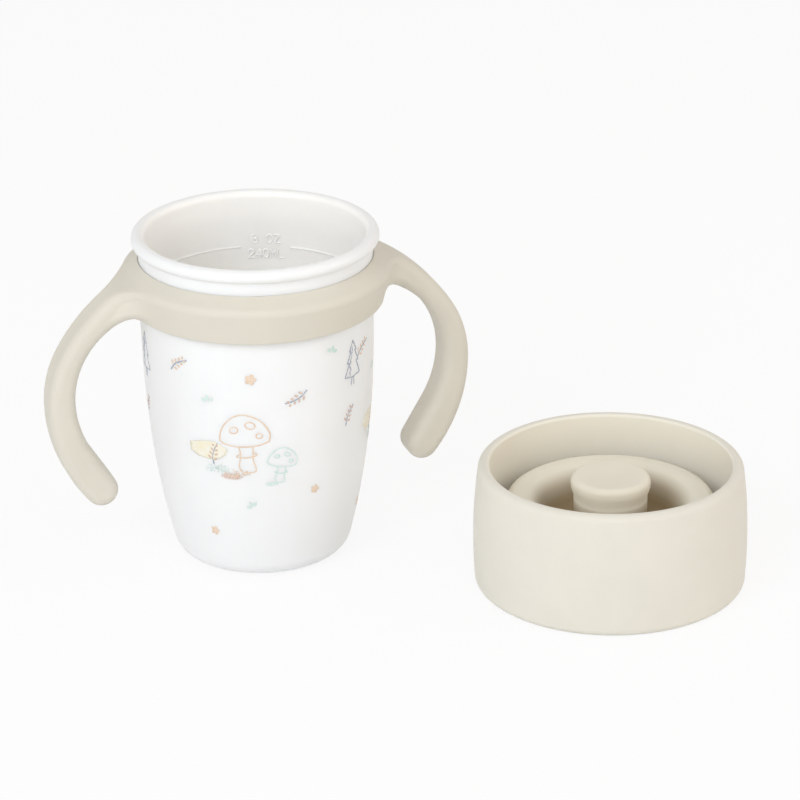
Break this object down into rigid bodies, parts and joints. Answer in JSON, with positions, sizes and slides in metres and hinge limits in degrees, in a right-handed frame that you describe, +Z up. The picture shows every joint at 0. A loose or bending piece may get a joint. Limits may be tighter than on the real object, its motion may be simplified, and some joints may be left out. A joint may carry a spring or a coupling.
{
  "type": "training cup",
  "caption": "White drinking cup with a turning ring that carries open handles, and a drinking lid with a push-in silicone valve standing beside it.",
  "frame": {"origin": "middle of the cup's flat base, on its axis", "axes": "+Z up along the cup's axis, X along the line through both handles; the lid stands at +X and -Y"},
  "size_m": [0.197, 0.1417, 0.1027],
  "materials": {
    "cup_white": "satin white polypropylene",
    "ring_beige": "soft matte beige plastic",
    "lid_beige": "soft matte beige plastic",
    "silicone_beige": "matte beige silicone"
  },
  "bodies": {
    "cup": {"cup_body": "cup_white"},
    "handle_ring": {"handle_ring": "ring_beige"},
    "lid": {"lid_collar": "lid_beige", "seal_ring": "silicone_beige"},
    "valve": {"valve_disc": "silicone_beige"}
  },
  "joints": [
    {"name": "ring_turn", "type": "hinge", "parent": "cup", "child": "handle_ring", "pos_m": [0, 0, 0.0878], "axis": [0, 0, 1], "continuous": true},
    {"name": "lid_lift", "type": "slide", "parent": "cup", "child": "lid", "axis": [0, 0, 1], "range_m": [0, 0.12]},
    {"name": "valve_pull", "type": "slide", "parent": "lid", "child": "valve", "axis": [0, 0, 1], "range_m": [0, 0.045]}
  ]
}
